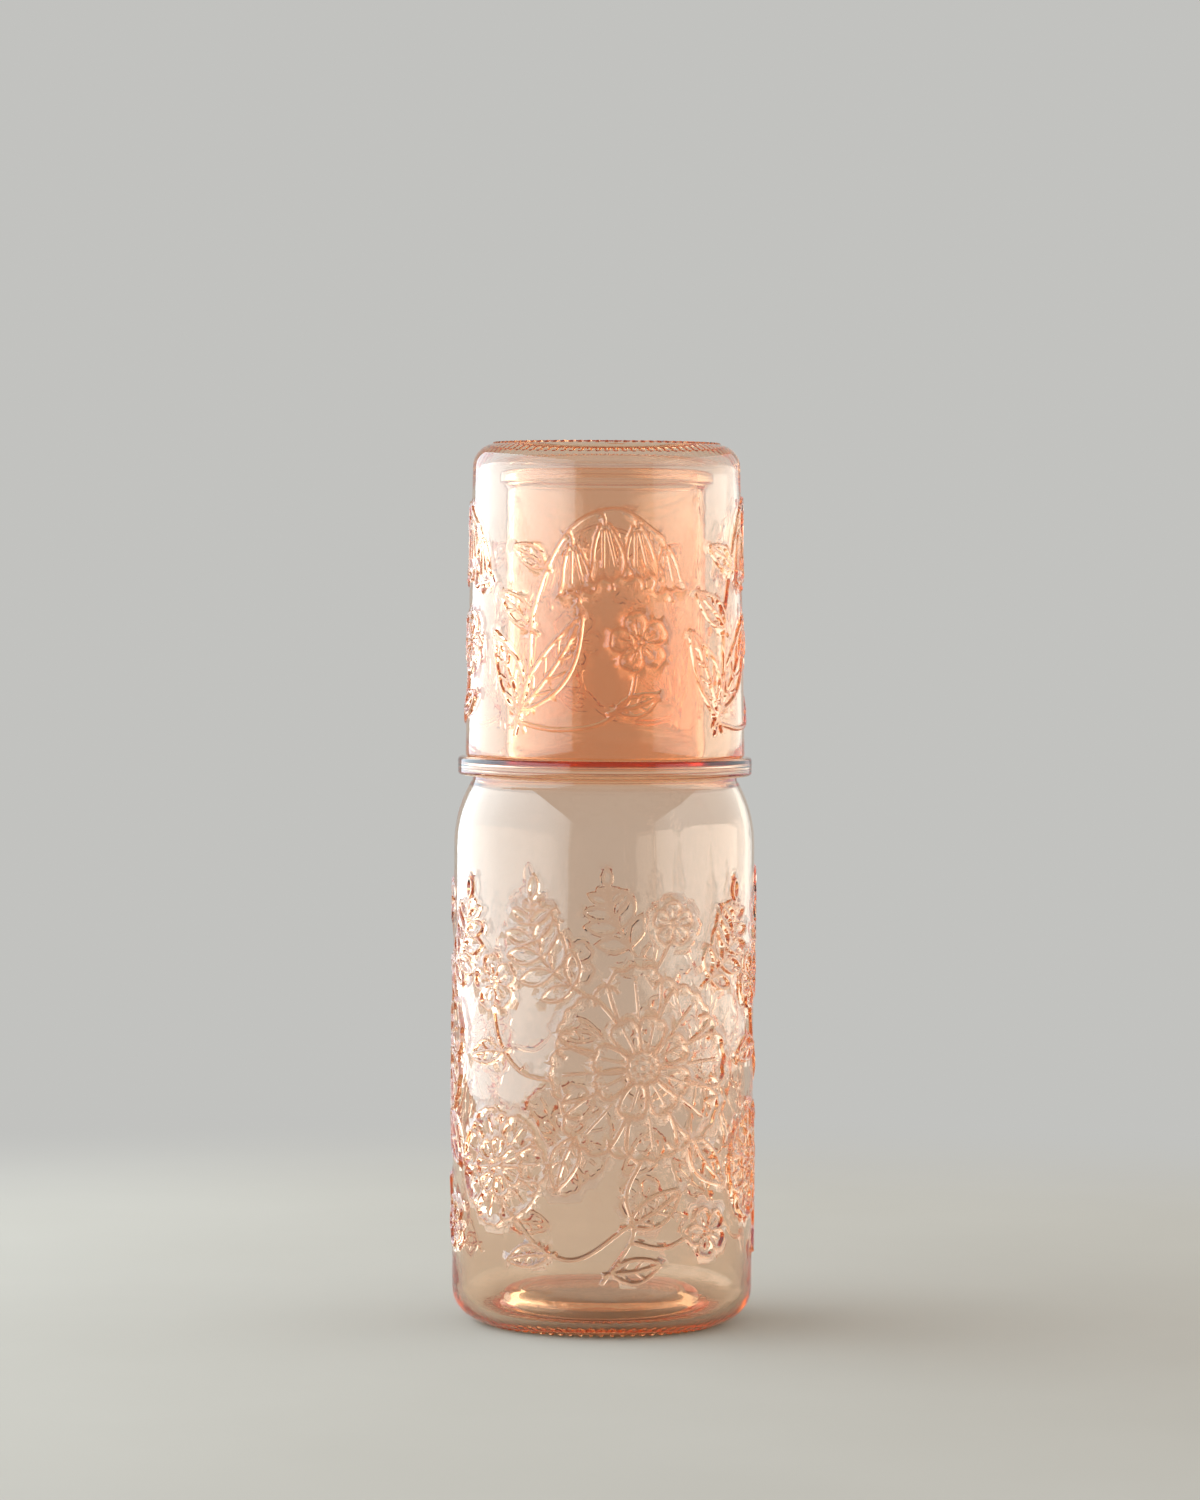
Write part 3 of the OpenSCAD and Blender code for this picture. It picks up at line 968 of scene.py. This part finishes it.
carafe_inside = np.vstack([
    rise((BORE_R, NECK_TOP - BEAD_ROUND), (BORE_R, CEILING_Z + THROAT_R), 5),
    arc((BORE_R + THROAT_R, CEILING_Z + THROAT_R), THROAT_R, 180, 270, 7),
    rise((BORE_R + THROAT_R, CEILING_Z), (HOLLOW_AT, CEILING_Z), 3),
    arc((HOLLOW_AT, CEILING_Z - HOLLOW_R), HOLLOW_R, 90, 0, 6),
    arc((HOLLOW_AT, COLLAR_LOW + LIP_T + HOLLOW_R), HOLLOW_R, 0, -90, 6),
    arc(lip_c, LIP_ROUND, 90, 180, 6),
    arc(shoulder_c, shoulder_in, shoulder_in_turn, 0, 8),
    rise((inside_r, shoulder_z), (inside_r, FLOOR_T + FLOOR_R), 8),
    arc((inside_r - FLOOR_R, FLOOR_T + FLOOR_R), FLOOR_R, 0, -90, 8),
    floor_step,
])
print("rings above the carafe's relief and inside it:", len(above_relief), len(carafe_inside))

# %% The carafe's mesh
OUTSIDE_RIPPLE = 0.04
INSIDE_RIPPLE = 0.10

carafe_patch = relief_patch(
    carafe_drawing, carafe_columns, BODY_R, *BODY_RELIEF,
    lambda z: np.full(len(z), BODY_R), OUTSIDE_RIPPLE,
)
carafe_glass = closed_glass(
    "carafe_glass", carafe_columns, BAR_H + PUNT_RISE,
    np.concatenate([
        turned_rings(carafe_foot, carafe_columns),
        turned_rings(below_relief, carafe_columns, OUTSIDE_RIPPLE),
    ]),
    carafe_patch,
    np.concatenate([
        turned_rings(above_relief, carafe_columns, OUTSIDE_RIPPLE),
        turned_rings(carafe_inside, carafe_columns, INSIDE_RIPPLE),
    ]),
    FLOOR_T + FLOOR_STEP,
)

# %% [markdown]
# ## The tumbler
# It stands mouth down. Its outline starts under its base, comes down inside, turns round the drinking
# rim and goes up outside to the knurled base on top. Its wall leans in a little, so that it would
# leave the mould. The rim is held a hair above the collar, because two sheets of glass that share
# one plane would have no air between them to bend the light.

# %% The tumbler's outline
RIM_ROUND = 0.9
RIM_C = (40.9, 170.4)
RIM_IN_C = (40.7, 170.4)
DRAFT = 1.2
CUP_WALL = 2.0
CUP_CEILING = 259.9
CUP_TOP = 263.3
CUP_HEEL_AT = 33.009
CUP_HEEL_R = 7.0
CUP_CORNER_C = (33.029, 254.9)
CUP_CORNER_R = 5.0
CUP_HOLLOW = 0.9
CUP_BARS = 80
CUP_RELIEF = (174.0, 254.0)
HAIR = 0.04


def leaning(distance, z):
    """Radius at height z of the line that leans by the draft and passes the rim's centre at a distance."""
    turn = np.radians(DRAFT)
    return RIM_C[0] + (distance - (z - RIM_C[1]) * np.sin(turn)) / np.cos(turn)


def outside_r(z):
    """Radius of the tumbler's outer wall at height z."""
    return leaning(RIM_ROUND, z)


def inside_at(z):
    """Place (r, z) on the tumbler's inner wall."""
    return leaning(RIM_ROUND - CUP_WALL, z), z


tumbler_columns = bar_columns(CUP_BARS, CUP_HEEL_AT)
gap, bar = foot_outlines(CUP_HEEL_AT, CUP_HEEL_R, CUP_HOLLOW, -DRAFT)
upturned = [outline[::-1] * [1, -1] + [0, CUP_TOP] for outline in (gap, bar)]
tumbler_base = with_bars(*upturned, tumbler_columns)
tumbler_inside = np.vstack([
    rise((0, CUP_CEILING), (CUP_CORNER_C[0], CUP_CEILING), 6),
    arc(CUP_CORNER_C, CUP_CORNER_R, 90, DRAFT, 8),
    rise(inside_at(CUP_CORNER_C[1]), inside_at(RIM_IN_C[1]), 12),
])
tumbler_rim = np.vstack([
    arc(RIM_IN_C, RIM_ROUND, 180 + DRAFT, 270, 5) + [0, HAIR],
    arc(RIM_C, RIM_ROUND, -90, DRAFT, 5) + [0, HAIR],
    [(outside_r(CUP_RELIEF[0]), CUP_RELIEF[0])],
])
above_drawing = np.array([(outside_r(CUP_RELIEF[1]), CUP_RELIEF[1])])
print("rings inside the tumbler and round its rim:", len(tumbler_inside), len(tumbler_rim))

# %% The tumbler's mesh
tumbler_patch = relief_patch(
    tumbler_drawing, tumbler_columns, CUP_R, *CUP_RELIEF, outside_r, OUTSIDE_RIPPLE,
)
tumbler_glass = closed_glass(
    "tumbler_glass", tumbler_columns, CUP_CEILING,
    np.concatenate([
        turned_rings(tumbler_inside, tumbler_columns, INSIDE_RIPPLE),
        turned_rings(tumbler_rim, tumbler_columns, OUTSIDE_RIPPLE),
    ]),
    tumbler_patch,
    np.concatenate([
        turned_rings(above_drawing, tumbler_columns, OUTSIDE_RIPPLE),
        turned_rings(tumbler_base, tumbler_columns),
    ]),
    CUP_TOP - BAR_H - CUP_HOLLOW,
)

# %% [markdown]
# ## The tinted glass
# The glass is coloured peach in two ways: a tint on its skins, which follows the height, being
# stronger on the collar, the neck and the tumbler; and a colour in its depth, which shows most where
# light runs a long way inside, as in the heel and the edges. Light and shade are also painted into the
# skin's colour. It is lighter at the heel, on the lower body and near the tops of the neck and the
# tumbler, as painted light for the light that reaches those places. It is deepest on the ribs, as
# painted shade for the dark orange that light running long inside them gives. A tinted shader alone
# would give every crossing the same colour, and depth alone would leave the thin walls too clear. So
# the shader's colour does the first and an absorbing volume the second: green and blue are lost with
# depth, and red is kept. Noise varies the tint, the polish and the surface very slightly, as on
# moulded glass.

# %% The glass finish
GLASS_IOR = 1.55
POLISH = (0.0, 0.006)
# Heel and lower body: the tint made lighter, as painted light.
HEEL_TINT_PAINTED_LIGHTER = (0.995, 0.895, 0.815, 1.0)
LOW_TINT_PAINTED_LIGHTER = (0.995, 0.880, 0.810, 1.0)
BODY_TONE = (0.962, 0.860, 0.800, 1.0)
COLLAR_TONE = (0.995, 0.790, 0.640, 1.0)
NECK_TONE = (0.990, 0.800, 0.668, 1.0)
CUP_TONE = (0.990, 0.800, 0.668, 1.0)
# Tops of the neck and the tumbler: the tint made lighter, as painted light from above.
NECK_TOP_TINT_PAINTED_LIGHTER = (0.990, 0.871, 0.783, 1.0)
CUP_TOP_TINT_PAINTED_LIGHTER = (0.990, 0.887, 0.832, 1.0)
# Ribs: the tint made deeper, as painted shade for the dark orange of light running long in them.
RIB_TINT_PAINTED_SHADE = (0.965, 0.660, 0.500, 1.0)
DEPTH_COLOUR = (0.937, 0.562, 0.062, 1.0)
DEPTH_DENSITY = 60.0


def tinted_glass(name, tone_stops):
    """Glass with a tinted skin, whose tone follows stops of (height, tone), some lighter as painted light,
    and deepens on the ribs as painted shade, and an absorbing volume: each metre takes the density
    times (1 - colour) of the light."""
    material, tree, output = new_material(name)
    place = add_node(tree, "ShaderNodeTexCoord")
    split = add_node(tree, "ShaderNodeSeparateXYZ")
    cloud = add_node(tree, "ShaderNodeTexNoise", {"Scale": 26.0, "Detail": 3.0})
    pores = add_node(tree, "ShaderNodeTexNoise", {"Scale": 160.0, "Detail": 2.0})
    level = add_node(tree, "ShaderNodeMapRange", {"From Min": 0.0, "From Max": CUP_TOP * MM})
    tone = add_node(tree, "ShaderNodeValToRGB")
    set_stops(tone, [(height / CUP_TOP, colour) for height, colour in tone_stops])
    relief = add_node(tree, "ShaderNodeAttribute", attribute_name="relief")
    # Painted shade: the tone deepens towards the rib tone where the relief rises.
    ribs_painted_shade = add_node(tree, "ShaderNodeMix", {"B": RIB_TINT_PAINTED_SHADE}, data_type="RGBA")
    drift = add_node(tree, "ShaderNodeMapRange", {"To Min": 0.97, "To Max": 1.03})
    varied = add_node(tree, "ShaderNodeGamma")
    rubbed = {"From Min": 0.35, "From Max": 0.75, "To Min": POLISH[0], "To Max": POLISH[1]}
    polish = add_node(tree, "ShaderNodeMapRange", rubbed)
    skin = add_node(tree, "ShaderNodeBump", {"Strength": 0.05, "Distance": 0.0006})
    glass = add_node(tree, "ShaderNodeBsdfPrincipled", {"Transmission Weight": 1.0, "IOR": GLASS_IOR})
    absorbed = {"Color": DEPTH_COLOUR, "Density": DEPTH_DENSITY}
    depth = add_node(tree, "ShaderNodeVolumeAbsorption", absorbed)
    join(
        tree,
        (place, "Object", split, 0),
        (place, "Object", cloud, "Vector"),
        (place, "Object", pores, "Vector"),
        (split, "Z", level, "Value"),
        (level, "Result", tone, "Fac"),
        (relief, "Fac", ribs_painted_shade, "Factor"),
        (tone, "Color", ribs_painted_shade, "A"),
        (ribs_painted_shade, "Result", varied, "Color"),
        (cloud, "Fac", drift, "Value"),
        (drift, "Result", varied, "Gamma"),
        (cloud, "Fac", polish, "Value"),
        (pores, "Fac", skin, "Height"),
        (varied, "Color", glass, "Base Color"),
        (polish, "Result", glass, "Roughness"),
        (skin, "Normal", glass, "Normal"),
        (glass, 0, output, "Surface"),
        (depth, 0, output, "Volume"),
    )
    return material


# The lighter stops at the heel, on the lower body and at the neck's top are painted light.
carafe_tones = (
    (8, HEEL_TINT_PAINTED_LIGHTER), (24, LOW_TINT_PAINTED_LIGHTER), (60, LOW_TINT_PAINTED_LIGHTER), (120, BODY_TONE), (161, BODY_TONE),
    (163.5, COLLAR_TONE), (169.5, COLLAR_TONE), (173, NECK_TONE), (200, NECK_TONE), (245, NECK_TOP_TINT_PAINTED_LIGHTER),
)
# The lighter stop at the tumbler's top is painted light.
tumbler_tones = ((195, CUP_TONE), (250, CUP_TOP_TINT_PAINTED_LIGHTER))
carafe_glass.data.materials.append(tinted_glass("carafe_peach_glass", carafe_tones))
tumbler_glass.data.materials.append(tinted_glass("tumbler_peach_glass", tumbler_tones))
print("materials:", carafe_glass.data.materials[0].name, tumbler_glass.data.materials[0].name)

# %% [markdown]
# ## Joining the frame
# Each mesh stands for one solid of the imported model and moves with its body, so the tumbler lifts off
# the collar with its joint. The imported solid is kept, hidden.

# %% Riding, and the imported solids hidden
for piece, body in ((carafe_glass, "carafe"), (tumbler_glass, "tumbler")):
    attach(piece, body)
    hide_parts(body)
